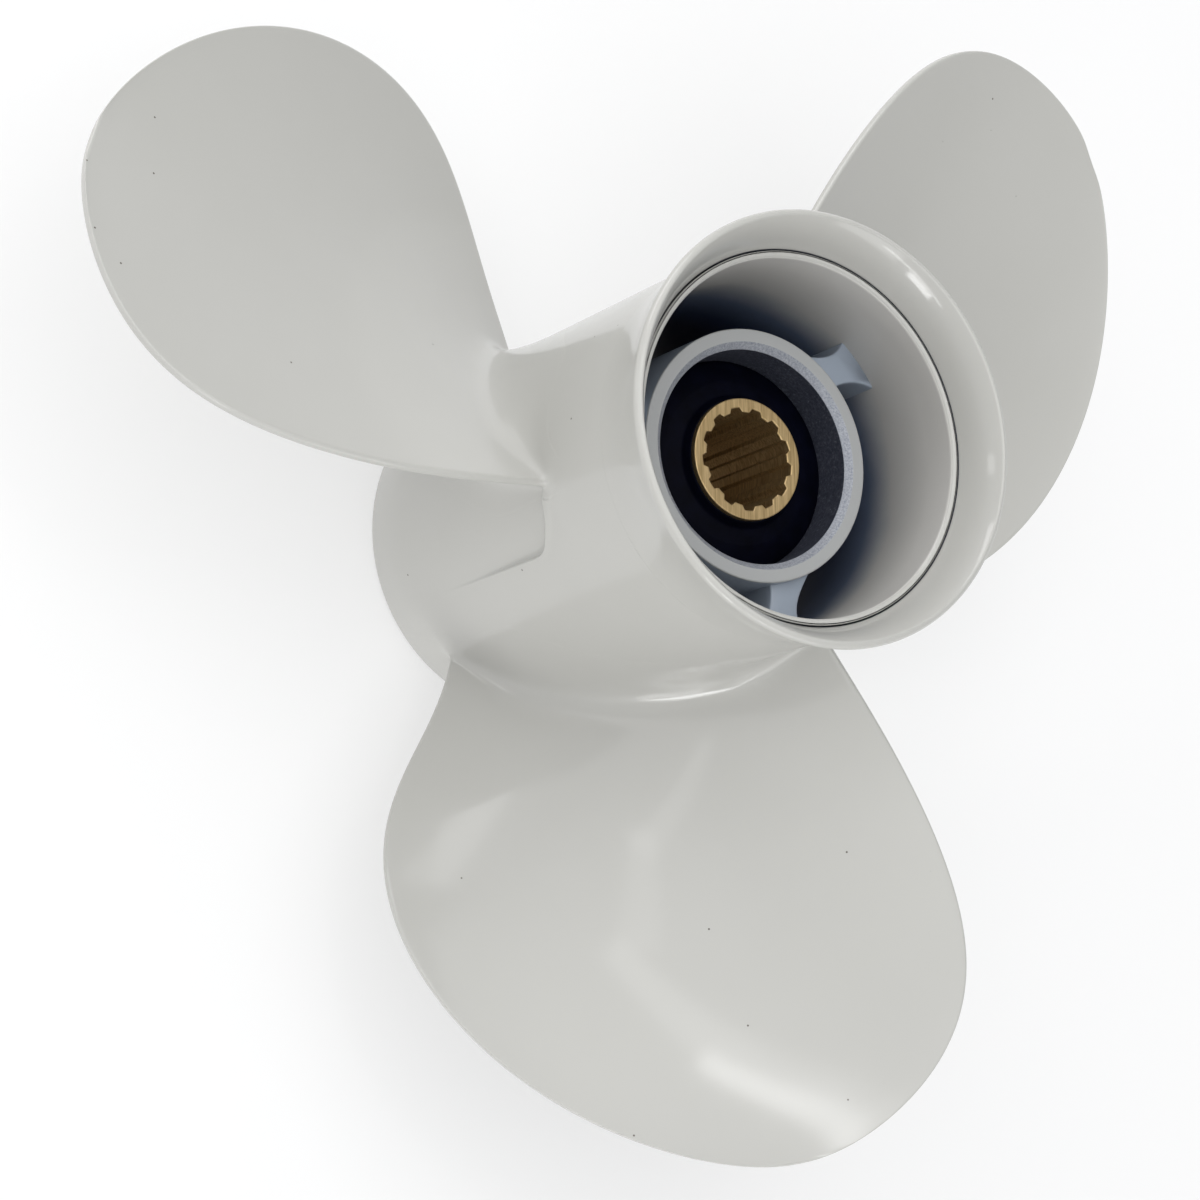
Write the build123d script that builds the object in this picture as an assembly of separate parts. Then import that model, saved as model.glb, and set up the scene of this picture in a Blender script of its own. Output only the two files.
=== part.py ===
from build123d import *
import os
from math import atan2, cos, pi, radians, sin, sqrt

# Three-blade outboard propeller with through-hub exhaust, right-hand rotation.
# Millimetres.  The shaft axis is Z and aft is +Z, so the part stands on the
# barrel's front rim.  The origin is on the shaft axis, in the front (thrust)
# face of the splined sleeve.

# ---- blades ---------------------------------------------------------------
BLADE_COUNT = 3
TIP_RADIUS = 144.5            # 11 3/8 in diameter
ROOT_RADIUS = 38.9            # radius where the span fraction starts
FIRST_BLADE_AT = 90.0         # degrees, middle of the first blade's root
ROOT_MIDDLE_Z = 36.9          # height of the middle of the root chord
ROOT_PITCH = 294.0            # advance per turn at the root
TIP_PITCH = 277.0
# Bezier pulls from root to tip, evenly spread over the span
CHORD_PULLS = (88.3, 95.8, 183.4, 58.2)
SKEW_PULLS = (0.0, 5.6, -5.0, 5.4, 10.3)      # degrees towards the trailing edge
RAKE_PULLS = (0.0, 4.9, 15.0, 17.5)           # aft
TIP_FULLNESS = 13.0           # higher keeps the chord wide closer to the tip
ROOT_THICKNESS = 12.0
TIP_THICKNESS = 3.4
EDGE_THICKNESS = 1.8
CAMBER_RATIO = 0.012          # hollow of the pressure face, per unit of chord
FILLET_REACH = 7.0            # how far the root fillet spreads on the barrel
FILLET_HEIGHT = 9.0
BLADE_STEPS = 11              # sections along the span, closer together at the tip

# ---- barrel, the outer exhaust tube -----------------------------------------
BARREL_FRONT_Z = -12.0
BARREL_FRONT_RADIUS = 39.8
SWELL_Z = 4.0                 # the barrel is widest here, at the leading edges
SWELL_RADIUS = 41.1
SHOULDER_Z = 92.5             # where the diffuser ring's front edge sits
SHOULDER_RADIUS = 40.2
SPIGOT_RADIUS = 38.2          # turned down to carry the diffuser ring
BARREL_REAR_Z = 104.4
BARREL_BORE_REAR = 36.7
BARREL_BORE_FRONT = 36.0
FRONT_EDGE_ROUND = 1.2
FRONT_BEVEL = 0.8
RIM_BEVEL = 0.3

# ---- diffuser ring ----------------------------------------------------------
LIP_Z = 113.5
LIP_RADIUS = 44.2
LIP_ROUND = 1.3
BELL_START_Z = 104.2          # the bell opens from the spigot to the lip

# ---- inner hub tube and its ribs --------------------------------------------
TUBE_FRONT_Z = 2.0
TUBE_REAR_Z = 87.4
TUBE_RADIUS_FRONT = 27.6
TUBE_RADIUS_REAR = 26.5
TUBE_BORE = 22.4
TUBE_CHAMFER = 1.4
RIB_COUNT = 3
FIRST_RIB_AT = 106.5          # degrees, where the rib crosses its middle radius
RIB_MIDDLE_RADIUS = 32.0
RIB_LEAN = 35.0               # degrees that a rib leans away from the radius
RIB_THICKNESS = 5.4
RIB_FRONT_Z = 6.0
RIB_REAR_Z = 84.6
RIB_FILLET = 3.6

# ---- rubber bush and splined sleeve -----------------------------------------
BUSH_CLEARANCE = 0.05         # running clearance to the tube bore
BUSH_REAR_Z = 77.2
BUSH_CROWN = 3.3              # the rubber rises this much towards the sleeve
SLEEVE_RADIUS = 12.8
SLEEVE_REAR_Z = 83.7
SLEEVE_CHAMFER = 0.4
COLLAR_RADIUS = 15.0          # front collar that the thrust washer bears on
COLLAR_LENGTH = 8.0
SPLINE_TEETH = 13
SPLINE_MAJOR = 10.75
SPLINE_MINOR = 9.8
SPACE_AT_MAJOR = 11.0         # degrees that each spline space is wide
SPACE_AT_MINOR = 17.5
PILOT_RADIUS = 11.5           # plain counterbore in the sleeve's front end
PILOT_DEPTH = 5.0


def bezier(pulls, t):
    """Value at t of the Bezier curve that these evenly spread pulls make."""
    level = list(pulls)
    while len(level) > 1:
        level = [a + (b - a) * t for a, b in zip(level, level[1:])]
    return level[0]


def turned(profile):
    """Solid of revolution about Z from a closed face in the XZ plane."""
    return revolve(profile, Axis.Z, 360)


def closed_face(*points):
    """Flat face in the XZ plane through (radius, height) corners."""
    corners = [(radius, 0, height) for radius, height in points]
    return make_face(Polyline(*corners, close=True))


def barrel():
    """Outer tube with a turned spigot for the diffuser ring."""
    face = closed_face(
        (BARREL_BORE_FRONT + FRONT_BEVEL, BARREL_FRONT_Z),
        (BARREL_FRONT_RADIUS, BARREL_FRONT_Z),
        (SWELL_RADIUS, SWELL_Z),
        (SHOULDER_RADIUS, SHOULDER_Z),
        (SPIGOT_RADIUS, SHOULDER_Z),
        (SPIGOT_RADIUS, BARREL_REAR_Z - RIM_BEVEL),
        (SPIGOT_RADIUS - RIM_BEVEL, BARREL_REAR_Z),
        (BARREL_BORE_REAR + RIM_BEVEL, BARREL_REAR_Z),
        (BARREL_BORE_REAR, BARREL_REAR_Z - RIM_BEVEL),
        (BARREL_BORE_FRONT, BARREL_FRONT_Z + FRONT_BEVEL),
    )
    solid = turned(face)
    front_edges = solid.edges().filter_by(GeomType.CIRCLE).group_by(Axis.Z)[0]
    outer_front = front_edges.sort_by(SortBy.RADIUS)[-1]
    return fillet(outer_front, FRONT_EDGE_ROUND)


def diffuser_ring():
    """Flared ring pressed on the spigot, with a bell-shaped mouth."""
    lip_top = (LIP_RADIUS - LIP_ROUND, 0, LIP_Z)
    lip_side = (LIP_RADIUS, 0, LIP_Z - LIP_ROUND)
    lip_mid = (
        LIP_RADIUS - LIP_ROUND * (1 - cos(pi / 4)),
        0,
        LIP_Z - LIP_ROUND * (1 - sin(pi / 4)),
    )
    front_outer = (SHOULDER_RADIUS, 0, SHOULDER_Z)
    front_inner = (SPIGOT_RADIUS, 0, SHOULDER_Z)
    bell_start = (SPIGOT_RADIUS, 0, BELL_START_Z)
    outside = Bezier(
        front_outer,
        (SHOULDER_RADIUS + 0.2, 0, SHOULDER_Z + 9.0),
        (LIP_RADIUS - 1.6, 0, LIP_Z - 6.5),
        lip_side,
    )
    lip = ThreePointArc(lip_side, lip_mid, lip_top)
    bell = Bezier(
        lip_top,
        (LIP_RADIUS - 3.4, 0, LIP_Z - 2.6),
        (SPIGOT_RADIUS + 1.2, 0, BELL_START_Z + 3.4),
        bell_start,
    )
    bore = Line(bell_start, front_inner)
    front = Line(front_inner, front_outer)
    return turned(make_face([outside, lip, bell, bore, front]))


def inner_hub_tube():
    """Tube that holds the rubber bush, chamfered at its rear mouth."""
    face = closed_face(
        (TUBE_BORE + TUBE_CHAMFER, TUBE_FRONT_Z),
        (TUBE_RADIUS_FRONT, TUBE_FRONT_Z),
        (TUBE_RADIUS_REAR, TUBE_REAR_Z),
        (TUBE_BORE + TUBE_CHAMFER, TUBE_REAR_Z),
        (TUBE_BORE, TUBE_REAR_Z - TUBE_CHAMFER),
        (TUBE_BORE, TUBE_FRONT_Z + TUBE_CHAMFER),
    )
    return turned(face)


def barrel_hollow():
    """The space inside the barrel, as a solid."""
    face = closed_face(
        (0, BARREL_FRONT_Z + FRONT_BEVEL),
        (BARREL_BORE_FRONT, BARREL_FRONT_Z + FRONT_BEVEL),
        (BARREL_BORE_REAR, BARREL_REAR_Z - RIM_BEVEL),
        (0, BARREL_REAR_Z - RIM_BEVEL),
    )
    return turned(face)


def tube_envelope():
    """The inner hub tube with its bore filled in, run out past both ends."""
    slope = (TUBE_RADIUS_REAR - TUBE_RADIUS_FRONT) / (TUBE_REAR_Z - TUBE_FRONT_Z)
    over = 10.0
    face = closed_face(
        (0, TUBE_FRONT_Z - over),
        (TUBE_RADIUS_FRONT - slope * over, TUBE_FRONT_Z - over),
        (TUBE_RADIUS_REAR + slope * over, TUBE_REAR_Z + over),
        (0, TUBE_REAR_Z + over),
    )
    return turned(face)


def rib(turn):
    """One leaning rib between tube and barrel, flared at both ends."""
    inside = TUBE_RADIUS_REAR - 2.0
    outside = BARREL_BORE_REAR + 2.0
    lean = radians(RIB_LEAN)
    near = (inside - RIB_MIDDLE_RADIUS) / cos(lean)
    far = (outside - RIB_MIDDLE_RADIUS) / cos(lean)
    half = RIB_THICKNESS / 2
    flare = RIB_FILLET

    def side(sign):
        return [
            (near, sign * (half + flare)),
            (near + 2.0 + flare * 0.3, sign * (half + flare * 0.45)),
            (near + 2.0 + flare * 1.1, sign * half),
            (far - 2.0 - flare * 1.1, sign * half),
            (far - 2.0 - flare * 0.3, sign * (half + flare * 0.45)),
            (far, sign * (half + flare)),
        ]

    left = Spline(*side(1))
    right = Spline(*side(-1))
    ends = [Line(left @ 0, right @ 0), Line(left @ 1, right @ 1)]
    web = extrude(make_face([left, right, *ends]), RIB_REAR_Z - RIB_FRONT_Z)
    web = Pos(RIB_MIDDLE_RADIUS, 0, RIB_FRONT_Z) * Rot(Z=-RIB_LEAN) * web
    web = (web & barrel_hollow()) - tube_envelope()
    return Rot(Z=turn) * web


def blade_station(radius):
    """Chord, skew, rake, pitch and thickness of the blade at a radius."""
    span = (radius - ROOT_RADIUS) / (TIP_RADIUS - ROOT_RADIUS)
    inner = max(span, 0.0)
    fullness = sqrt(max(1.0 - inner ** TIP_FULLNESS, 0.0))
    chord = bezier(CHORD_PULLS, inner) * fullness
    skew = radians(bezier(SKEW_PULLS, inner))
    rake = bezier(RAKE_PULLS, inner)
    pitch = ROOT_PITCH + (TIP_PITCH - ROOT_PITCH) * inner ** 2
    thick = TIP_THICKNESS + (ROOT_THICKNESS - TIP_THICKNESS) * (1 - inner) ** 1.6
    edge = EDGE_THICKNESS * min(1.0, 0.35 + 0.65 * fullness)
    return chord, skew, rake, pitch, max(thick * fullness, edge), edge


def root_flare(radius):
    """Extra half thickness that the root fillet adds at a radius."""
    height = radius - SHOULDER_RADIUS
    share = min(max(1.0 - height / FILLET_HEIGHT, 0.0), 1.0)
    return FILLET_REACH * share ** 2


def blade_section(radius):
    """Closed wire around the blade where a cylinder of this radius cuts it."""
    chord, skew, rake, pitch, thick, edge = blade_station(radius)
    flare = root_flare(radius)
    slope = atan2(pitch, 2 * pi * radius)
    middle = radius * skew
    height = ROOT_MIDDLE_Z + rake + pitch * skew / (2 * pi)

    def place(along, off):
        """Point at a distance along the pitch line and off it, aft positive."""
        arc = middle + along * cos(slope) - off * sin(slope)
        rise = height + along * sin(slope) + off * cos(slope)
        turn = arc / radius
        return Vector(radius * cos(turn), radius * sin(turn), rise)

    half = chord / 2 - edge / 2
    face_half = edge / 2 + flare
    reach = chord / 2 + 0.6 * flare

    def pressure(u):
        hollow = CAMBER_RATIO * chord * (1 - u * u)
        return place(u * half, face_half - hollow)

    def suction(u):
        hollow = CAMBER_RATIO * chord * (1 - u * u)
        crown = (thick - edge) * (1 - u * u)
        return place(u * half, -face_half - hollow - crown)

    stations = [-1.0, -0.6, -0.2, 0.2, 0.6, 1.0]
    top = Spline(*[pressure(u) for u in stations])
    rear = ThreePointArc(pressure(1.0), place(reach, 0), suction(1.0))
    under = Spline(*[suction(-u) for u in stations])
    front = ThreePointArc(suction(-1.0), place(-reach, 0), pressure(-1.0))
    return Wire([top, rear, under, front])


def barrel_envelope():
    """The barrel with its bore filled in, run out past both ends."""
    over = 30.0
    face = closed_face(
        (0, BARREL_FRONT_Z - over),
        (BARREL_FRONT_RADIUS, BARREL_FRONT_Z - over),
        (BARREL_FRONT_RADIUS, BARREL_FRONT_Z),
        (SWELL_RADIUS, SWELL_Z),
        (SHOULDER_RADIUS, SHOULDER_Z),
        (SHOULDER_RADIUS, SHOULDER_Z + over),
        (0, SHOULDER_Z + over),
    )
    return turned(face)


def blade():
    """One blade, from the barrel's outer surface to its tip, at 0 degrees."""
    start = SHOULDER_RADIUS - 3.2
    radii = [start + step for step in (0.0, 2.6, 4.6, 7.0)]
    first = start + 10.0
    for i in range(BLADE_STEPS + 1):
        share = 1 - (1 - i / (BLADE_STEPS + 0.2)) ** 2
        radii.append(first + (TIP_RADIUS - first) * share)
    sections = [blade_section(radius) for radius in radii]
    skin = Shell.make_loft(sections)
    root_cap = Face.make_surface(sections[0])
    tip_cap = Face.make_surface(sections[-1])
    whole = Solid(Shell([*skin.faces(), root_cap, tip_cap]))
    return whole - barrel_envelope()


def rubber_bush():
    """Rubber bonded on the splined sleeve behind its collar, crowned aft."""
    outer = TUBE_BORE - BUSH_CLEARANCE
    face = closed_face(
        (SLEEVE_RADIUS, COLLAR_LENGTH),
        (outer - 1.0, COLLAR_LENGTH),
        (outer, COLLAR_LENGTH + 1.0),
        (outer, BUSH_REAR_Z - 1.0),
        (outer - 1.0, BUSH_REAR_Z),
        (SLEEVE_RADIUS + 2.5, BUSH_REAR_Z + BUSH_CROWN),
        (SLEEVE_RADIUS, BUSH_REAR_Z + BUSH_CROWN),
    )
    return turned(face)


def spline_space():
    """One space between two spline teeth, along the whole sleeve."""
    narrow = radians(SPACE_AT_MAJOR / 2)
    wide = radians(SPACE_AT_MINOR / 2)
    inner = SPLINE_MINOR - 0.4
    corners = [
        (inner * cos(wide), -inner * sin(wide)),
        (SPLINE_MINOR * cos(wide), -SPLINE_MINOR * sin(wide)),
        (SPLINE_MAJOR * cos(narrow), -SPLINE_MAJOR * sin(narrow)),
        (SPLINE_MAJOR * cos(narrow), SPLINE_MAJOR * sin(narrow)),
        (SPLINE_MINOR * cos(wide), SPLINE_MINOR * sin(wide)),
        (inner * cos(wide), inner * sin(wide)),
    ]
    return extrude(make_face(Polyline(*corners, close=True)), SLEEVE_REAR_Z)


def splined_sleeve():
    """Brass sleeve with a front collar, an internal spline and a pilot."""
    bevel = SLEEVE_CHAMFER
    body = turned(closed_face(
        (SPLINE_MINOR, 0),
        (COLLAR_RADIUS - bevel, 0),
        (COLLAR_RADIUS, bevel),
        (COLLAR_RADIUS, COLLAR_LENGTH),
        (SLEEVE_RADIUS, COLLAR_LENGTH),
        (SLEEVE_RADIUS, SLEEVE_REAR_Z - bevel),
        (SLEEVE_RADIUS - bevel, SLEEVE_REAR_Z),
        (SPLINE_MINOR, SLEEVE_REAR_Z),
    ))
    for i in range(SPLINE_TEETH):
        body -= Rot(Z=360 / SPLINE_TEETH * i) * spline_space()
    return body - extrude(Circle(PILOT_RADIUS), PILOT_DEPTH)


def save(shape, node):
    """Write one named piece."""
    solids = shape.solids()
    piece = solids[0] if len(solids) == 1 else Compound(children=solids)
    export_step(piece, "parts/" + node + ".step")


def main():
    os.makedirs("parts", exist_ok=True)
    save(barrel(), "barrel")
    save(diffuser_ring(), "diffuser_ring")
    save(inner_hub_tube(), "inner_hub_tube")
    for i in range(RIB_COUNT):
        save(rib(FIRST_RIB_AT + 360 / RIB_COUNT * i), "rib_" + str(i + 1))
    one_blade = blade()
    for i in range(BLADE_COUNT):
        turn = FIRST_BLADE_AT + 360 / BLADE_COUNT * i
        save(Rot(Z=turn) * one_blade, "blade_" + str(i + 1))
    save(rubber_bush(), "rubber_bush")
    save(splined_sleeve(), "splined_sleeve")


main()
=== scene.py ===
"""Looks of a white-painted three-blade outboard propeller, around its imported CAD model.

The frame is the CAD's own: Z is the shaft axis and aft is +Z.  Shapes are worked out in
millimetres with the part's own formulas, and become metres when a mesh is made.
"""

import math

import bmesh
import bpy
import numpy as np
from mathutils import Matrix, Vector


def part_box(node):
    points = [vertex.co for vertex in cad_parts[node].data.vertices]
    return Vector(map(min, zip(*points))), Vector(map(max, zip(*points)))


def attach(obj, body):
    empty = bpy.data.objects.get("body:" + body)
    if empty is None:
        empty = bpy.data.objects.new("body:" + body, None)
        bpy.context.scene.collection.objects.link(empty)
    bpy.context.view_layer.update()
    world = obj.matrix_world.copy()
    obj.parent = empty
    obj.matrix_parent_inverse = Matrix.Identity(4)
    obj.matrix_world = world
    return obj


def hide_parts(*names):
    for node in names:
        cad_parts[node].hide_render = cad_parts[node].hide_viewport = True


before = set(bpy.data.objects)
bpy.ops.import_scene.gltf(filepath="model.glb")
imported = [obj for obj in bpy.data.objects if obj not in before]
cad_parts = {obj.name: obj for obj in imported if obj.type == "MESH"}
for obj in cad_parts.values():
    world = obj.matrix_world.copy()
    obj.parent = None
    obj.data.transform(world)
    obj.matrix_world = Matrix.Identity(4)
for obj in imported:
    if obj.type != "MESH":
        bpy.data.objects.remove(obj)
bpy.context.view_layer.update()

MM = 0.001

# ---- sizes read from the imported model, in millimetres -------------------------


def low(node):
    """Lowest corner of a CAD node."""
    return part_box(node)[0] / MM


def high(node):
    """Highest corner of a CAD node."""
    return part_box(node)[1] / MM


def reach(node):
    """Largest distance of a CAD node from the shaft axis."""
    corners = np.array([v.co[:2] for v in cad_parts[node].data.vertices])
    return float(np.hypot(corners[:, 0], corners[:, 1]).max()) / MM


BARREL_FRONT_Z = low("barrel").z
BARREL_REAR_Z = high("barrel").z
SWELL_RADIUS = reach("barrel")
SHOULDER_Z = low("diffuser_ring").z
LIP_Z = high("diffuser_ring").z
LIP_RADIUS = reach("diffuser_ring")
TIP_RADIUS = reach("blade_1")
TUBE_FRONT_Z = low("inner_hub_tube").z
TUBE_REAR_Z = high("inner_hub_tube").z
TUBE_RADIUS_FRONT = reach("inner_hub_tube")
RIB_FRONT_Z = low("rib_1").z
RIB_REAR_Z = high("rib_1").z
BUSH_RADIUS = reach("rubber_bush")
BUSH_TOP_Z = high("rubber_bush").z
SLEEVE_REAR_Z = high("splined_sleeve").z
COLLAR_RADIUS = reach("splined_sleeve")

# ---- the part's own shape values, millimetres and degrees ---------------------

COUNT = 3                     # blades, and ribs as well
SECTOR = 360 / COUNT
FIRST_BLADE_AT = 90.0
FIRST_RIB_AT = 106.5
ROOT_RADIUS = 38.9
ROOT_MIDDLE_Z = 36.9
ROOT_PITCH = 294.0
TIP_PITCH = 277.0
CHORD_PULLS = (88.3, 95.8, 183.4, 58.2)
SKEW_PULLS = (0.0, 5.6, -5.0, 5.4, 10.3)
RAKE_PULLS = (0.0, 4.9, 15.0, 17.5)
TIP_FULLNESS = 13.0
ROOT_THICKNESS = 12.0
TIP_THICKNESS = 3.4
EDGE_THICKNESS = 1.8
CAMBER_RATIO = 0.012

BARREL_FRONT_RADIUS = 39.8
SWELL_Z = 4.0
SHOULDER_RADIUS = 40.2
SPIGOT_RADIUS = 38.2
BORE_REAR = 36.7
BORE_FRONT = 36.0
BELL_START_Z = 104.2
TUBE_RADIUS_REAR = 26.5
TUBE_BORE = 22.4
TUBE_CHAMFER = 1.4
SLEEVE_RADIUS = 12.8
COLLAR_LENGTH = 8.0
PILOT_RADIUS = 11.5
PILOT_DEPTH = 5.0
SPLINE_TEETH = 13
SPLINE_MAJOR = 10.75
SPLINE_MINOR = 9.8
SPACE_AT_MAJOR = 11.0
SPACE_AT_MINOR = 17.5
BUSH_EDGE_Z = 77.2

# The mould's parting step on the barrel, between one blade's trailing edge and the next
# blade's leading edge.  Angles count from the middle of a blade's root.
PARTING_AT = SECTOR / 2
LEDGE_START_AT = 41.0
LEDGE_Z = 68.8
LEDGE_FALL = 0.1              # millimetres that the ledge falls per degree
LEDGE_CORNER = 9.0            # radius of the corner between the ledge and the axial step
CREST_RISE = 1.2              # bead of metal along the rear side of the ledge
CREST_WIDTH = 2.8
CREST_START = (41.0, 46.0)    # it rises between these angles and sinks between the next two
CREST_END = (54.0, 62.0)
POCKET_DEPTH = 1.5
POCKET_FADE = (16.0, 64.0)    # the pocket deepens between these heights
STEP_SLOPE = (-0.3, 0.35)     # half widths of the step's slope, outside and inside the pocket
ROOT_SLOPE = (-2.5, 2.5)      # the pocket ends between these distances from the blade's root

# ---- small maths --------------------------------------------------------------


def bezier(pulls, t):
    """Value at t of the Bezier curve with these evenly spread pulls."""
    level = [np.asarray(p, float) + 0 * t for p in pulls]
    while len(level) > 1:
        level = [a + (b - a) * t for a, b in zip(level, level[1:])]
    return level[0]


def smooth(low_end, high_end, x):
    """0 below low_end, 1 above high_end and a smooth rise between."""
    t = np.clip((x - low_end) / (high_end - low_end), 0, 1)
    return t * t * (3 - 2 * t)


def blend(a, b, share):
    """From a to b by this share."""
    return a + (b - a) * share


def steps(start, *stops):
    """Values from the start through the (end, spacing) pairs in turn."""
    values = [start]
    for end, spacing in stops:
        last = values[-1]
        count = max(1, round((end - last) / spacing))
        values.extend(last + (end - last) * (i + 1) / count for i in range(count))
    return np.array(values)


# ---- meshes -------------------------------------------------------------------


def mesh_piece(name, points, faces, body, *nodes):
    """A smooth-shaded piece from points in millimetres, riding on a body for its nodes.

    Its normals face outwards.
    """
    mesh = bpy.data.meshes.new(name)
    mesh.from_pydata((np.asarray(points) * MM).tolist(), [], faces)
    shell = bmesh.new()
    shell.from_mesh(mesh)
    bmesh.ops.recalc_face_normals(shell, faces=shell.faces)
    if shell.calc_volume(signed=True) < 0:
        bmesh.ops.reverse_faces(shell, faces=shell.faces)
    shell.to_mesh(mesh)
    shell.free()
    mesh.shade_smooth()
    piece = bpy.data.objects.new(name, mesh)
    bpy.context.scene.collection.objects.link(piece)
    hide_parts(*nodes)
    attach(piece, body)
    return piece


def grid_faces(rows, columns, wrap_rows):
    """Quads of a grid whose columns close on themselves, and its rows too if asked."""
    faces = []
    for i in range(rows if wrap_rows else rows - 1):
        j = (i + 1) % rows
        for a in range(columns):
            b = (a + 1) % columns
            faces.append((i * columns + a, i * columns + b, j * columns + b, j * columns + a))
    return faces


def looped(name, rows, body, *nodes):
    """A solid of closed rows of points, whose last row meets its first."""
    points = np.array(rows)
    faces = grid_faces(len(rows), points.shape[1], wrap_rows=True)
    return mesh_piece(name, points.reshape(-1, 3), faces, body, *nodes)


def capped(name, rows, body, *nodes):
    """A solid of closed rows of points, with a cap on its first row and its last."""
    points = np.array(rows)
    count = points.shape[1]
    last = (len(rows) - 1) * count
    faces = grid_faces(len(rows), count, wrap_rows=False)
    faces.append(tuple(range(count))[::-1])
    faces.append(tuple(last + i for i in range(count)))
    return mesh_piece(name, points.reshape(-1, 3), faces, body, *nodes)


def around(radius, angles, z):
    """Points at these radii, angles in degrees and heights."""
    turn = np.radians(angles)
    radius, turn, z = np.broadcast_arrays(radius, turn, z)
    return np.stack([radius * np.cos(turn), radius * np.sin(turn), z], -1)


def rounded(corners, arc_steps=5, hold=0.35):
    """Closed (radius, height) outline with each corner rounded by its own radius.

    Corners are (radius, height, rounding).  A holding point on each side of an arc keeps
    the smooth shading of the flats flat.
    """
    outline = []
    count = len(corners)
    for i, (x, y, rounding) in enumerate(corners):
        here = np.array([x, y], float)
        back = np.array(corners[i - 1][:2], float) - here
        ahead = np.array(corners[(i + 1) % count][:2], float) - here
        back_unit = back / np.linalg.norm(back)
        ahead_unit = ahead / np.linalg.norm(ahead)
        if rounding <= 0:
            outline.append(here)
            continue
        half = math.acos(np.clip(np.dot(back_unit, ahead_unit), -1, 1)) / 2
        cut = rounding / math.tan(half)
        weight = math.sin(half)
        start = here + back_unit * cut
        end = here + ahead_unit * cut
        outline.append(start + back_unit * hold * rounding)
        for t in np.linspace(0, 1, arc_steps + 1):
            a = (1 - t) ** 2
            b = 2 * t * (1 - t) * weight
            c = t ** 2
            outline.append((a * start + b * here + c * end) / (a + b + c))
        outline.append(end + ahead_unit * hold * rounding)
    return np.array(outline)


def turned(name, outline, body, *nodes, columns=240):
    """A solid of revolution from a closed (radius, height) outline."""
    angles = np.arange(columns) * 360 / columns
    rows = around(outline[:, :1], angles[None, :], outline[:, 1:])
    return looped(name, rows, body, *nodes)


# ---- the barrel ---------------------------------------------------------------


def barrel_taper(z):
    """Outer radius of the barrel without its parting step."""
    front = (z - BARREL_FRONT_Z) / (SWELL_Z - BARREL_FRONT_Z)
    rear = (z - SWELL_Z) / (SHOULDER_Z - SWELL_Z)
    below = blend(BARREL_FRONT_RADIUS, SWELL_RADIUS, np.sin(np.clip(front, 0, 1) * np.pi / 2))
    above = blend(SWELL_RADIUS, SHOULDER_RADIUS, rear)
    return np.where(z < SWELL_Z, below, above)


def barrel_radius(angles, z):
    """Outer radius of the barrel with its pockets under the trailing edges."""
    from_blade = np.mod(angles - FIRST_BLADE_AT + SECTOR / 2, SECTOR) - SECTOR / 2
    after = np.where(from_blade < -LEDGE_START_AT, from_blade + SECTOR, from_blade)
    across = (PARTING_AT - after) * np.radians(1) * SWELL_RADIUS
    ledge = LEDGE_Z - LEDGE_FALL * (after - LEDGE_START_AT)
    below = ledge - z
    corner = LEDGE_CORNER - np.hypot(
        np.maximum(LEDGE_CORNER - across, 0), np.maximum(LEDGE_CORNER - below, 0)
    )
    inside = np.minimum(corner, np.minimum(across, below))
    fade = smooth(*POCKET_FADE, z)
    root = ROOT_MIDDLE_Z + after * ROOT_PITCH / 360
    step = smooth(*STEP_SLOPE, inside)
    pocket = POCKET_DEPTH * fade * step * smooth(*ROOT_SLOPE, root - z)
    middle = smooth(*CREST_START, after) * (1 - smooth(*CREST_END, after))
    crest = CREST_RISE * fade * middle * np.clip(1 + inside / CREST_WIDTH, 0, 1) ** 2
    return barrel_taper(z) - pocket + crest * (1 - step)


RIM_ROUND = 1.2               # rounding of the front rim
SPIGOT_SHRINK = 0.08          # keeps the spigot's wall clear of the ring's


def sector_angles():
    """Angles around the barrel, closer together where the parting step is."""
    fine = steps(-60.0, (-57.0, 0.25), (-36.0, 1.0), (36.0, 2.0), (56.0, 0.5), (60.0, 0.25))
    return np.concatenate([fine[:-1] + FIRST_BLADE_AT + SECTOR * i for i in range(COUNT)])


def barrel():
    """Outer tube, from the front rim to the turned spigot that carries the ring."""
    angles = sector_angles()
    heights = steps(
        BARREL_FRONT_Z + RIM_ROUND, (10.0, 1.2), (50.0, 2.5), (58.0, 0.8), (71.0, 0.25),
        (76.0, 0.8), (SHOULDER_Z - 0.4, 2.5),
    )
    spigot = SPIGOT_RADIUS - SPIGOT_SHRINK
    inside = rounded([
        (SHOULDER_RADIUS - 1.0, SHOULDER_Z, 0.1),
        (spigot, SHOULDER_Z, 0.2),
        (spigot, BARREL_REAR_Z, 0.3),
        (BORE_REAR, BARREL_REAR_Z, 0.9),
        (BORE_FRONT, BARREL_FRONT_Z, 0.8),
        (BARREL_FRONT_RADIUS - 1.0, BARREL_FRONT_Z, 0.1),
    ])
    outer = around(
        barrel_radius(angles[None, :], heights[:, None]), angles[None, :], heights[:, None]
    )
    rows = []
    for turn in np.radians([75, 50, 25]):
        radius = BARREL_FRONT_RADIUS - RIM_ROUND * (1 - np.cos(turn))
        rows.append(around(radius, angles, BARREL_FRONT_Z + RIM_ROUND * (1 - np.sin(turn))))
    rows.extend(outer)
    for inset, drop in ((0, 0.06), (0, 0.02), (0.02, 0), (0.05, 0)):
        rows.append(around(SHOULDER_RADIUS - inset, angles, SHOULDER_Z - drop))
    rows.extend(around(r, angles, z) for r, z in inside)
    return looped("barrel_casting", rows, "propeller", "barrel")


# ---- the blades ---------------------------------------------------------------

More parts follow.
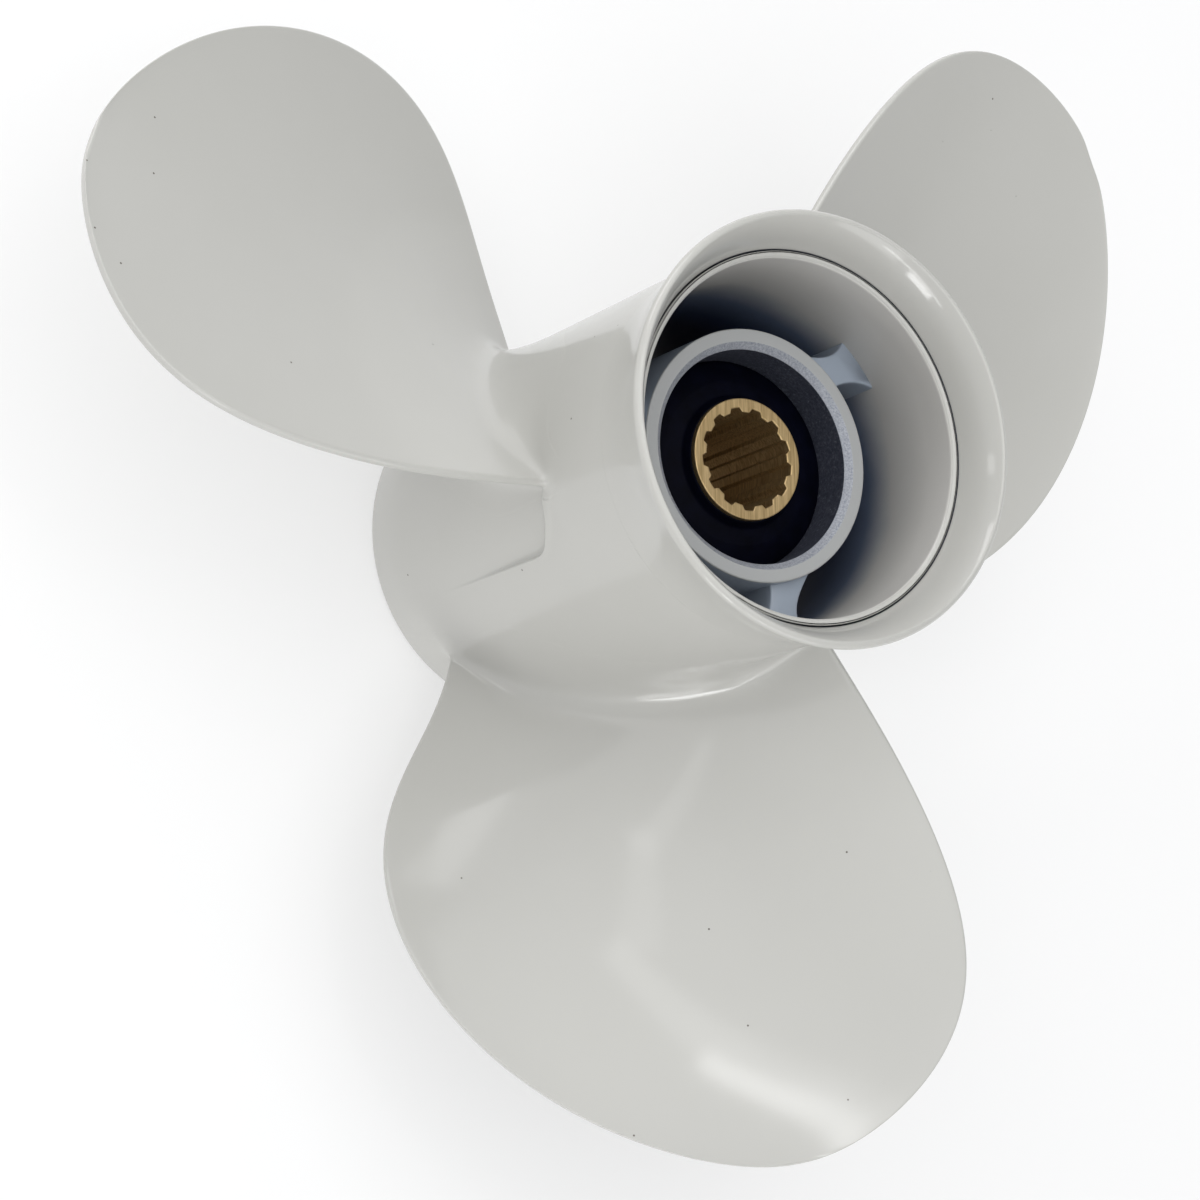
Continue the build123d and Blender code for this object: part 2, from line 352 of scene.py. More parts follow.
EDGE_POINTS = 7
FACE_POINTS = 54
FACE_CROWDING = 0.75          # share of the face's points that crowd towards the edges
EDGE_SQUARENESS = 0.62        # 1 is a round edge, and lower is squarer
THICKNESS_FALL = 1.6          # 1 thins evenly towards the tip, and higher sooner


def outline_plan():
    """Where each point of a section's outline lies: its chord place, side and edge turn.

    The side is 1 on the aft face, -1 on the back and 0 on an edge.
    """
    even = np.linspace(-1, 1, FACE_POINTS)
    crowded = -np.cos(np.linspace(0, np.pi, FACE_POINTS))
    spread = FACE_CROWDING * crowded + (1 - FACE_CROWDING) * even
    edge = np.linspace(90, -90, EDGE_POINTS + 2)[1:-1]
    plan = [(u, 1, None) for u in spread]
    plan += [(1, 0, turn) for turn in edge]
    plan += [(u, -1, None) for u in spread[::-1]]
    plan += [(-1, 0, turn) for turn in edge[::-1]]
    along = np.array([p[0] for p in plan], float)
    side = np.array([p[1] for p in plan], float)
    turn = np.radians([90 * p[1] if p[2] is None else p[2] for p in plan])
    return along, side, turn


def blade_outline(radius):
    """Chordwise and thickness places of the outline points, each at its own radius."""
    along, side, turn = outline_plan()
    span = np.clip((radius - ROOT_RADIUS) / (TIP_RADIUS - ROOT_RADIUS), 0, 1)
    fullness = np.sqrt(np.clip(1 - span ** TIP_FULLNESS, 0, 1))
    chord = bezier(CHORD_PULLS, span) * fullness
    to_tip = np.clip((TIP_RADIUS - radius) / (EDGE_THICKNESS / 2), 0, 1)
    tip_round = np.sqrt(1 - (1 - to_tip) ** 2)
    edge = np.minimum(EDGE_THICKNESS * tip_round, chord)
    thick = blend(TIP_THICKNESS, ROOT_THICKNESS, (1 - span) ** THICKNESS_FALL)
    thick = np.maximum(thick * fullness * tip_round, edge)
    half = np.maximum(chord / 2 - edge / 2, 0)
    bow = 1 - along ** 2
    hollow = CAMBER_RATIO * chord * bow
    crown = (thick - edge) * bow * (side < 0)
    out = np.abs(np.cos(turn)) ** EDGE_SQUARENESS * (side == 0)
    up = np.sign(np.sin(turn)) * np.abs(np.sin(turn)) ** EDGE_SQUARENESS
    s = along * (half + out * edge / 2)
    n = up * edge / 2 - hollow - crown
    return s, n


def on_blade(s, n, radius):
    """Place in space of a point at s along the pitch line and n off it, aft positive."""
    span = np.clip((radius - ROOT_RADIUS) / (TIP_RADIUS - ROOT_RADIUS), 0, 1)
    pitch = blend(ROOT_PITCH, TIP_PITCH, span ** 2)
    skew = np.radians(bezier(SKEW_PULLS, span))
    rise = bezier(RAKE_PULLS, span) + pitch * skew / (2 * np.pi)
    slope = np.arctan2(pitch, 2 * np.pi * radius)
    turn = skew + (s * np.cos(slope) - n * np.sin(slope)) / radius
    z = ROOT_MIDDLE_Z + rise + s * np.sin(slope) + n * np.cos(slope)
    return np.degrees(turn), z


# The root fillet runs further along the barrel than up the blade
FILLET_EASE = 2.5                   # 2 is a parabola, and higher hugs the corner more
FILLET_UP = 10.0
FILLET_UP_AT_EDGE = 3.0
FILLET_ALONG_FACE = 21.0
FILLET_ALONG_BACK = 10.0
FILLET_ALONG_EDGE = (2.2, 6.0)      # on the back side and on the face side of an edge
FILLET_NARROWS = (0.50, 1.0)        # part of the half chord where it narrows to the edge
FILLET_ROWS = 22
FILLET_FOOT = 0.02                  # height of its lowest visible row over the barrel
ROOT_SINK = 1.0                     # the blade goes on into the barrel by this much
SPAN_FROM = SHOULDER_RADIUS + 0.9   # near the barrel's radius at the roots
SPAN_TO = TIP_RADIUS - 0.002        # just inside the tip, where a section has a width
SPAN_ROWS = 76


def blade(index):
    """One blade with its root fillet, run out tangent to the barrel's own surface."""
    s, n = blade_outline(SHOULDER_RADIUS + 1.0)
    ds = np.roll(s, -1) - np.roll(s, 1)
    dn = np.roll(n, -1) - np.roll(n, 1)
    size = np.hypot(ds, dn)
    out_s = -dn / size
    out_n = ds / size
    facing = np.abs(out_n) ** 3 * (1 - smooth(*FILLET_NARROWS, np.abs(outline_plan()[0])))
    side = np.where(out_n > 0, FILLET_ALONG_FACE, FILLET_ALONG_BACK)
    along_edge = blend(*FILLET_ALONG_EDGE, smooth(-0.4, 0.4, out_n))
    along = blend(along_edge, side, facing)
    up = blend(FILLET_UP_AT_EDGE, FILLET_UP, facing)
    rows = []

    def add(height, spread, settle):
        """One row this high over the barrel, following its relief by the settle share."""
        radius = SHOULDER_RADIUS + 0.5 + height
        for _ in range(3):
            row_s, row_n = blade_outline(radius)
            angle, z = on_blade(row_s + spread * out_s, row_n + spread * out_n, radius)
            plain = barrel_taper(z)
            relief = barrel_radius(angle + FIRST_BLADE_AT, z) - plain
            radius = plain + settle * relief + height
        rows.append(around(radius, angle + FIRST_BLADE_AT + SECTOR * index, z))

    add(-ROOT_SINK, along + 1.0, 1)
    add(-0.06, along + 0.8, 1)
    for step in np.linspace(0, 1, FILLET_ROWS):
        rise = step ** FILLET_EASE
        add(up * rise + FILLET_FOOT, along * (1 - step) ** FILLET_EASE, 1 - rise)
    start = SPAN_FROM + FILLET_FOOT + up
    for v in np.linspace(0, 1, SPAN_ROWS)[1:]:
        radius = blend(start, SPAN_TO, 1 - (1 - v) ** 2)
        radius = blend(radius, SPAN_TO, smooth(0.9, 1.0, v))
        angle, z = on_blade(*blade_outline(radius), radius)
        rows.append(around(radius, angle + FIRST_BLADE_AT + SECTOR * index, z))
    number = str(index + 1)
    return capped("blade_casting_" + number, rows, "propeller", "blade_" + number)


# ---- ring, tube and ribs ------------------------------------------------------

LIP_ROUND = 1.3               # radius of the lip's rolled edge


def bell_outline():
    """Outline of the diffuser ring: front edge, flare outside, lip and bell inside."""
    t = np.linspace(0, 1, 26)
    outside = np.stack([
        bezier((SHOULDER_RADIUS, SHOULDER_RADIUS + 0.2, LIP_RADIUS - 1.6, LIP_RADIUS), t),
        bezier((SHOULDER_Z + 0.03, SHOULDER_Z + 9.0, LIP_Z - 6.5, LIP_Z - LIP_ROUND), t),
    ], -1)
    turn = np.radians(np.linspace(0, 90, 9))
    lip = np.stack([
        LIP_RADIUS - LIP_ROUND * (1 - np.cos(turn)), LIP_Z - LIP_ROUND * (1 - np.sin(turn)),
    ], -1)
    throat = SPIGOT_RADIUS + 0.34
    bell = np.stack([
        bezier((LIP_RADIUS - LIP_ROUND, LIP_RADIUS - 3.4, throat + 1.06, throat), t),
        bezier((LIP_Z, LIP_Z - 2.6, BELL_START_Z + 3.4, BELL_START_Z + 0.3), t),
    ], -1)
    joint = np.array([
        (SPIGOT_RADIUS + 0.26, BELL_START_Z - 0.05),
        (SPIGOT_RADIUS + 0.20, BELL_START_Z - 0.3),
        (SPIGOT_RADIUS + 0.17, BELL_START_Z - 0.8),
        (SPIGOT_RADIUS + 0.17, BELL_START_Z - 1.5),
        (SPIGOT_RADIUS + 0.12, BELL_START_Z - 1.6),
        (SPIGOT_RADIUS + 0.12, SHOULDER_Z + 1.0),
        (SPIGOT_RADIUS + 0.12, SHOULDER_Z + 0.06),
        (SHOULDER_RADIUS - 0.05, SHOULDER_Z),
        (SHOULDER_RADIUS - 0.02, SHOULDER_Z),
    ])
    hold = outside[:1] + [[0.0, 0.05]]
    return np.concatenate([outside[:1], hold, outside[1:-1], lip, bell[1:], joint])


def diffuser_ring():
    """The flared ring on the barrel's spigot."""
    return turned("ring_flare", bell_outline(), "propeller", "diffuser_ring", columns=360)


def hub_tube():
    """Inner tube with its rear end ring, chamfer and bush bore."""
    outline = rounded([
        (TUBE_RADIUS_FRONT, TUBE_FRONT_Z, 0.5),
        (TUBE_RADIUS_REAR, TUBE_REAR_Z, 0.35),
        (TUBE_BORE + TUBE_CHAMFER, TUBE_REAR_Z, 0.2),
        (TUBE_BORE, TUBE_REAR_Z - TUBE_CHAMFER, 0.25),
        (TUBE_BORE, TUBE_FRONT_Z + TUBE_CHAMFER, 0.25),
        (TUBE_BORE + TUBE_CHAMFER, TUBE_FRONT_Z, 0.2),
    ])
    return turned("hub_tube_casting", outline, "propeller", "inner_hub_tube", columns=300)


def wall_radius(z):
    """Radius of the barrel's bore."""
    return blend(BORE_FRONT, BORE_REAR, (z - BARREL_FRONT_Z) / (BARREL_REAR_Z - BARREL_FRONT_Z))


def tube_radius(z):
    """Outer radius of the inner hub tube."""
    share = (z - TUBE_FRONT_Z) / (TUBE_REAR_Z - TUBE_FRONT_Z)
    return blend(TUBE_RADIUS_FRONT, TUBE_RADIUS_REAR, share)


# Sides of a rib from the barrel's wall in to the tube, as angles from the rib's place
RIB_SIDE_A = (-14.5, -8.0, -5.5, -5.5)
RIB_SIDE_B = (4.5, 3.0, 4.0, 18.5)
RIB_EDGE = 0.5                # rounding of the rib's front and rear edges
RIB_LAP = 0.3                 # it goes this far into the barrel and the tube
RIB_SIDE_POINTS = 25
RIB_END_POINTS = 8


def rib(index):
    """A leaning rib, flared where it meets the barrel and the tube."""
    t = np.linspace(0, 1, RIB_SIDE_POINTS)
    place = FIRST_RIB_AT + SECTOR * index
    rounding = np.radians([0, 30, 60, 90])
    edge = [(RIB_EDGE * (1 - np.cos(a)), RIB_EDGE * (1 - np.sin(a))) for a in rounding]
    edge.append((2.0, 0.0))
    front = [(RIB_FRONT_Z + depth, inset) for depth, inset in edge]
    rear = [(RIB_REAR_Z - depth, inset) for depth, inset in edge[::-1]]
    rows = []
    for z, inset in front + rear:
        wall = wall_radius(z) + RIB_LAP
        tube = tube_radius(z) - RIB_LAP
        radius = blend(wall, tube, t)
        shrink = np.degrees(inset / radius)
        side_a = bezier(RIB_SIDE_A, t) + shrink
        side_b = bezier(RIB_SIDE_B, t) - shrink
        one = around(radius, place + side_a, z)
        other = around(radius[::-1], place + side_b[::-1], z)
        tube_turn = np.linspace(side_a[-1], side_b[-1], RIB_END_POINTS)[1:-1]
        wall_turn = np.linspace(side_b[0], side_a[0], RIB_END_POINTS)[1:-1]
        inner = around(tube, place + tube_turn, z)
        outer = around(wall, place + wall_turn, z)
        rows.append(np.concatenate([one, inner, other, outer]))
    number = str(index + 1)
    return capped("rib_casting_" + number, rows, "propeller", "rib_" + number)


# ---- bush and sleeve ----------------------------------------------------------


def rubber_bush():
    """The bonded cushion, with a thin skirt of rubber up the sleeve: a dark sheet over the sleeve's
    side, as painted shade.
    """
    outline = rounded([
        (SLEEVE_RADIUS, COLLAR_LENGTH, 0.1),
        (BUSH_RADIUS, COLLAR_LENGTH, 1.2),
        (BUSH_RADIUS, BUSH_EDGE_Z, 1.2),
        (SLEEVE_RADIUS + 4.5, BUSH_TOP_Z - 0.9, 2.0),
        (SLEEVE_RADIUS + 1.2, BUSH_TOP_Z, 0.9),
        # Skirt up the sleeve: dark rubber over the sleeve's side, painted shade
        (SLEEVE_RADIUS + 0.3, SLEEVE_REAR_Z - 1.3, 0.25),
        (SLEEVE_RADIUS, SLEEVE_REAR_Z - 1.2, 0.05),
    ])
    return turned("rubber_cushion", outline, "drive_hub", "rubber_bush")


SPLINE_PITCH = 360 / SPLINE_TEETH
CORNER_HOLD = 0.35            # degrees between a corner of a space and its holding points


def spline_angles():
    """Angles around the sleeve, three close together at each corner of a spline space."""
    marks = [0.0]
    for corner in (SPACE_AT_MAJOR / 2, SPACE_AT_MINOR / 2):
        marks.extend((corner - CORNER_HOLD, corner, corner + CORNER_HOLD))
    marks.append((SPACE_AT_MINOR / 2 + SPLINE_PITCH / 2) / 2)
    marks.append(SPLINE_PITCH / 2)
    marks.extend(SPLINE_PITCH - m for m in marks[-2:0:-1])
    return np.concatenate([np.array(marks) + SPLINE_PITCH * i for i in range(SPLINE_TEETH)])


def spline_radius(angles):
    """Radius of the splined wall: wide spaces between narrow teeth."""
    off = np.abs(np.mod(angles + SPLINE_PITCH / 2, SPLINE_PITCH) - SPLINE_PITCH / 2)
    flank = (off - SPACE_AT_MAJOR / 2) / (SPACE_AT_MINOR / 2 - SPACE_AT_MAJOR / 2)
    return blend(SPLINE_MAJOR, SPLINE_MINOR, np.clip(flank, 0, 1))


def splined_sleeve():
    """The brass sleeve: splined wall, bevelled rear face, plain outside, collar and pilot."""
    angles = spline_angles()
    wall = spline_radius(angles)
    bevel = 0.25
    splined = [(0.0, PILOT_DEPTH + 0.3), (0.0, PILOT_DEPTH + 1.0)]
    splined += [(0.0, z) for z in np.linspace(PILOT_DEPTH + 6, SLEEVE_REAR_Z - 4, 8)]
    splined += [
        (0.0, SLEEVE_REAR_Z - 0.9),
        (0.0, SLEEVE_REAR_Z - bevel),
        (bevel * 0.3, SLEEVE_REAR_Z - bevel * 0.3),
        (bevel, SLEEVE_REAR_Z),
        (bevel + 0.12, SLEEVE_REAR_Z),
    ]
    plain = [
        (SPLINE_MAJOR + 0.6, SLEEVE_REAR_Z),
        (SLEEVE_RADIUS - 0.3, SLEEVE_REAR_Z),
        (SLEEVE_RADIUS - 0.2, SLEEVE_REAR_Z),
        (SLEEVE_RADIUS - 0.06, SLEEVE_REAR_Z - 0.06),
        (SLEEVE_RADIUS, SLEEVE_REAR_Z - 0.2),
        (SLEEVE_RADIUS, SLEEVE_REAR_Z - 0.6),
        (SLEEVE_RADIUS, COLLAR_LENGTH + 0.2),
        (SLEEVE_RADIUS, COLLAR_LENGTH),
        (COLLAR_RADIUS - 0.4, COLLAR_LENGTH),
        (COLLAR_RADIUS - 0.1, COLLAR_LENGTH - 0.1),
        (COLLAR_RADIUS, COLLAR_LENGTH - 0.4),
        (COLLAR_RADIUS, 0.4),
        (COLLAR_RADIUS - 0.1, 0.1),
        (COLLAR_RADIUS - 0.4, 0.0),
        (PILOT_RADIUS + 0.5, 0.0),
        (PILOT_RADIUS + 0.3, 0.0),
        (PILOT_RADIUS, 0.3),
        (PILOT_RADIUS, 0.8),
        (PILOT_RADIUS, PILOT_DEPTH - 0.2),
        (PILOT_RADIUS, PILOT_DEPTH),
    ]
    rows = [around(wall + extra, angles, z) for extra, z in splined]
    rows += [around(radius, angles, z) for radius, z in plain]
    return looped("brass_sleeve", rows, "drive_hub", "splined_sleeve")


# ---- materials ----------------------------------------------------------------


def new_material(name):
    """A material, its node tree and its shader."""
    material = bpy.data.materials.new(name)
    material.use_nodes = True
    tree = material.node_tree
    return material, tree, tree.nodes["Principled BSDF"]


def object_place(tree):
    """The point's place on the object, from the tree's one coordinates node."""
    coordinates = tree.nodes.get("Texture Coordinate")
    if coordinates is None:
        coordinates = tree.nodes.new("ShaderNodeTexCoord")
    return coordinates.outputs["Object"]


def noise(tree, scale, detail, roughness=0.5, at=None):
    """Noise between 0 and 1, at the point's place unless another vector is given."""
    node = tree.nodes.new("ShaderNodeTexNoise")
    node.inputs["Scale"].default_value = scale
    node.inputs["Detail"].default_value = detail
    node.inputs["Roughness"].default_value = roughness
    tree.links.new(at or object_place(tree), node.inputs["Vector"])
    return node.outputs["Fac"]


def ramp(tree, source, stops):
    """Colour from a value output, by (place, colour) stops."""
    node = tree.nodes.new("ShaderNodeValToRGB")
    elements = node.color_ramp.elements
    while len(elements) < len(stops):
        elements.new(0.5)
    for element, (place, colour) in zip(elements, stops):
        element.position = place
        element.color = (*colour, 1.0)
    tree.links.new(source, node.inputs["Fac"])
    return node.outputs["Color"]


def cover(tree, share, under, colour):
    """A colour laid over another output where the share output is 1."""
    node = tree.nodes.new("ShaderNodeMix")
    node.data_type = "RGBA"
    share_socket, under_socket, over_socket = (node.inputs[i] for i in (0, 6, 7))
    tree.links.new(share, share_socket)
    tree.links.new(under, under_socket)
    over_socket.default_value = (*colour, 1.0)
    return node.outputs[2]


def bump(tree, shader, height, strength, distance):
    """Relief from a height output, on the shader's normal."""
    node = tree.nodes.new("ShaderNodeBump")
    node.inputs["Strength"].default_value = strength
    node.inputs["Distance"].default_value = distance
    tree.links.new(height, node.inputs["Height"])
    tree.links.new(node.outputs["Normal"], shader.inputs["Normal"])


def specks(tree, scale, size):
    """1 inside small scattered dots, 0 elsewhere."""
    cells = tree.nodes.new("ShaderNodeTexVoronoi")
    cells.inputs["Scale"].default_value = scale
    tree.links.new(object_place(tree), cells.inputs["Vector"])
    return ramp(tree, cells.outputs["Distance"], [
        (0.0, (1, 1, 1)), (size, (1, 1, 1)), (size * 1.4, (0, 0, 0)),
    ])


def white_paint():
    """Gloss white paint on a casting: faint mottling, orange peel and a few dark specks."""
    material, tree, shader = new_material("white_paint")
    tone = ramp(tree, noise(tree, 22.0, 3.0), [
        (0.30, (0.468, 0.465, 0.438)), (0.70, (0.480, 0.477, 0.452)),
    ])
    speckled = cover(tree, specks(tree, 100.0, 0.018), tone, (0.10, 0.085, 0.07))
    tree.links.new(speckled, shader.inputs["Base Color"])
    gloss = ramp(tree, noise(tree, 60.0, 4.0), [
        (0.3, (0.36, 0.36, 0.36)), (0.7, (0.42, 0.42, 0.42)),
    ])
    tree.links.new(gloss, shader.inputs["Roughness"])
    shader.inputs["Specular IOR Level"].default_value = 0.25
    shader.inputs["Coat Weight"].default_value = 0.7
    shader.inputs["Coat Roughness"].default_value = 0.09
    bump(tree, shader, noise(tree, 420.0, 2.0), 0.03, 0.0002)
    return material


def depth_shaded_paint(name, from_z, to_z, full):
    """Paint of the full colour at the upper height, going to dark navy below: painted shade
    deepening into the bore.
    """
    material, tree, shader = new_material(name)
    parts = tree.nodes.new("ShaderNodeSeparateXYZ")
    tree.links.new(object_place(tree), parts.inputs["Vector"])
    depth = tree.nodes.new("ShaderNodeMapRange")
    depth.inputs["From Min"].default_value = from_z * MM
    depth.inputs["From Max"].default_value = to_z * MM
    tree.links.new(parts.outputs["Z"], depth.inputs["Value"])
    patchy = tree.nodes.new("ShaderNodeMath")
    patchy.operation = "MULTIPLY_ADD"
    patchy.inputs[1].default_value = 0.16
    tree.links.new(noise(tree, 45.0, 5.0), patchy.inputs[0])
    tree.links.new(depth.outputs["Result"], patchy.inputs[2])
    # The navy stops are painted shade deep inside, and the full colour is the lit tone near the
    # mouth
    tone = ramp(tree, patchy.outputs[0], [
        (0.14, (0.014, 0.018, 0.040)), (0.34, (0.030, 0.044, 0.096)),
        (0.55, (0.115, 0.145, 0.215)), (0.74, [0.74 * share for share in full]), (0.98, full),
    ])
    tree.links.new(tone, shader.inputs["Base Color"])
    shader.inputs["Roughness"].default_value = 0.42
    shader.inputs["Coat Weight"].default_value = 0.3
    shader.inputs["Coat Roughness"].default_value = 0.2
    bump(tree, shader, noise(tree, 300.0, 3.0), 0.06, 0.0003)
    return material


def sprayed_metal():
    """Bare aluminium at the bush bore with thin overspray."""
    material, tree, shader = new_material("sprayed_metal")
    tone = ramp(tree, noise(tree, 2600.0, 4.0, 0.6), [
        (0.35, (0.26, 0.28, 0.33)), (0.65, (0.46, 0.48, 0.52)),
    ])
    tree.links.new(tone, shader.inputs["Base Color"])
    shader.inputs["Metallic"].default_value = 0.35
    shader.inputs["Roughness"].default_value = 0.45
    bump(tree, shader, noise(tree, 1400.0, 3.0), 0.2, 0.0002)
    return material


def shaded_bore_and_dark_joint():
    """Near-black wall of the bush bore, its darkness partly painted shade, with a dusting of spray;
    also the dark joint of the ring on the spigot.
    """
    material, tree, shader = new_material("shaded_bore_and_dark_joint")
    # Near-black stops: painted shade of the deep bore, and the dark joint's own colour
    tone = ramp(tree, noise(tree, 1700.0, 6.0, 0.8), [
        (0.42, (0.026, 0.030, 0.048)), (0.60, (0.075, 0.082, 0.110)), (0.70, (0.32, 0.33, 0.37)),
    ])
    tree.links.new(tone, shader.inputs["Base Color"])
    shader.inputs["Roughness"].default_value = 0.55
    bump(tree, shader, noise(tree, 1400.0, 3.0), 0.25, 0.0002)
    return material


def rubber():
    """Matt black rubber with a bluish cast."""
    material, tree, shader = new_material("rubber")
    tone = ramp(tree, noise(tree, 260.0, 5.0, 0.6), [
        (0.35, (0.0004, 0.0006, 0.0030)), (0.7, (0.0014, 0.0018, 0.0070)),
    ])
    tree.links.new(tone, shader.inputs["Base Color"])
    shader.inputs["Roughness"].default_value = 0.6
    shader.inputs["Specular IOR Level"].default_value = 0.05
    bump(tree, shader, noise(tree, 700.0, 4.0), 0.15, 0.0002)
    return material


def brass():
    """Brushed brass: straight scratches across the end face."""
    material, tree, shader = new_material("brass")
    stretch = tree.nodes.new("ShaderNodeMapping")
    stretch.vector_type = "TEXTURE"
    stretch.inputs["Rotation"].default_value = (0, 0, math.radians(-28))
    stretch.inputs["Scale"].default_value = (20.0, 1.0, 1.0)
    tree.links.new(object_place(tree), stretch.inputs["Vector"])
    lines = noise(tree, 2600.0, 3.0, at=stretch.outputs["Vector"])
    tone = ramp(tree, lines, [
        (0.3, (0.34, 0.235, 0.105)), (0.7, (0.60, 0.445, 0.235)),
    ])
    tree.links.new(tone, shader.inputs["Base Color"])
    shader.inputs["Metallic"].default_value = 0.85
    shader.inputs["Roughness"].default_value = 0.38
    bump(tree, shader, lines, 0.15, 0.0001)
    return material


def dress(piece, slot, *materials):
    """Gives a piece its materials.  The slot is not used."""
    for material in materials:
        piece.data.materials.append(material)


def paint_faces(piece, chooser):
    """Gives each face the material that the chooser picks for its radius and height."""
    for face in piece.data.polygons:
        centre = face.center / MM
        face.material_index = chooser(math.hypot(centre.x, centre.y), centre.z)


END_BAND = 0.4                # rounded edge of the spigot's end, painted as the outside is


def casing_paint(radius, z):
    """Paint darkening into the bore as painted shade (1), bare dark metal (2) on the spigot and
    paint (0) elsewhere.
    """
    if z >= BARREL_REAR_Z - END_BAND:
        return 0
    if radius < SPIGOT_RADIUS - 0.2 and z > BARREL_FRONT_Z + 1:
        return 1
    return 2 if radius < SPIGOT_RADIUS and z > SHOULDER_Z else 0


def flare_paint(radius, z):
    """Bare dark metal (1) in the joint with the barrel and paint (0) elsewhere."""
    return 1 if radius < SPIGOT_RADIUS + 0.25 and z < BELL_START_Z else 0


def tube_paint(radius, z):
    """Paint darkened as painted shade on the end (0) and side (3), speckled chamfer (1) and dark
    bore, partly painted shade (2).
    """
    if radius > TUBE_BORE + TUBE_CHAMFER:
        return 0 if z > TUBE_REAR_Z - 0.7 else 3
    return 1 if radius > TUBE_BORE + 0.05 else 2


# ---- stage, light and camera, in metres ---------------------------------------

FLOOR_HALF = 8.0
SOFTBOX_AIM = (0, 0, 0.05)
CAMERA_PLACE = (-0.0239, -0.3380, 0.5537)
CAMERA_RIGHT = (0.4210, 0.7558, 0.5015)
CAMERA_DOWN = (0.9030, -0.4014, -0.1531)
CAMERA_AHEAD = (0.0856, 0.5173, -0.8515)
CAMERA_LENS = 84.4            # millimetres, for a sensor 36 wide
CAMERA_SHIFT = (-0.0019, 0.0536)


def floor():
    """Pale floor under the front rim, with a little light of its own."""
    mesh = bpy.data.meshes.new("floor")
    z = BARREL_FRONT_Z * MM
    corners = [(x * FLOOR_HALF, y * FLOOR_HALF, z) for x, y in ((-1, -1), (1, -1), (1, 1), (-1, 1))]
    mesh.from_pydata(corners, [], [(0, 1, 2, 3)])
    piece = bpy.data.objects.new("floor", mesh)
    bpy.context.scene.collection.objects.link(piece)
    material, tree, shader = new_material("floor")
    shader.inputs["Base Color"].default_value = (0.45, 0.45, 0.45, 1)
    shader.inputs["Roughness"].default_value = 0.9
    shader.inputs["Emission Color"].default_value = (1, 1, 1, 1)
    shader.inputs["Emission Strength"].default_value = 0.48
    shader.inputs["Specular IOR Level"].default_value = 0.1
    mesh.materials.append(material)


def rectangle(name, place, size, radiance):
    """Rectangular light of this radiance, facing down."""
    data = bpy.data.lights.new(name, "AREA")
    data.shape = "RECTANGLE"
    data.size, data.size_y = size
    data.energy = radiance * math.pi * size[0] * size[1]
    lamp = bpy.data.objects.new(name, data)
    lamp.location = place
    bpy.context.scene.collection.objects.link(lamp)
    return lamp


def softbox(name, place, size, radiance):
    """Light that stands beside the object and faces it."""
    lamp = rectangle(name, place, size, radiance)
    direction = Vector(SOFTBOX_AIM) - Vector(place)
    lamp.rotation_euler = direction.to_track_quat("-Z", "Y").to_euler()


def panel(name, place, size, turn, radiance):
    """Level ceiling light, turned by these degrees about the vertical."""
    lamp = rectangle(name, place, size, radiance)
    lamp.rotation_euler.z = math.radians(turn)


def sky(overhead, horizon):
    """World light: bright around the horizon like a studio sweep, dimmer overhead."""
    world = bpy.data.worlds.new("studio")
    world.use_nodes = True
    tree = world.node_tree
    direction = tree.nodes.new("ShaderNodeTexCoord").outputs["Generated"]
    parts = tree.nodes.new("ShaderNodeSeparateXYZ")
    tree.links.new(direction, parts.inputs["Vector"])
    fall = tree.nodes.new("ShaderNodeMapRange")
    fall.interpolation_type = "SMOOTHSTEP"
    fall.inputs["From Min"].default_value = -0.05
    fall.inputs["From Max"].default_value = 0.42
    fall.inputs["To Min"].default_value = horizon
    fall.inputs["To Max"].default_value = overhead
    tree.links.new(parts.outputs["Z"], fall.inputs["Value"])
    background = tree.nodes["Background"]
    background.inputs["Color"].default_value = (0.97, 0.98, 1.0, 1)
    tree.links.new(fall.outputs["Result"], background.inputs["Strength"])
    bpy.context.scene.world = world


def camera():
    """Camera over the aft end, looking down into the mouth."""
    data = bpy.data.cameras.new("camera")
    data.sensor_width = 36.0
    data.lens = CAMERA_LENS
    data.shift_x, data.shift_y = CAMERA_SHIFT
    data.clip_start = 0.01
    data.clip_end = 20
    eye = bpy.data.objects.new("camera", data)
    bpy.context.scene.collection.objects.link(eye)
    turn = Matrix((CAMERA_RIGHT, -Vector(CAMERA_DOWN), -Vector(CAMERA_AHEAD))).transposed()
    eye.matrix_world = Matrix.Translation(CAMERA_PLACE) @ turn.to_4x4()
    bpy.context.scene.camera = eye


# ---- the scene ----------------------------------------------------------------

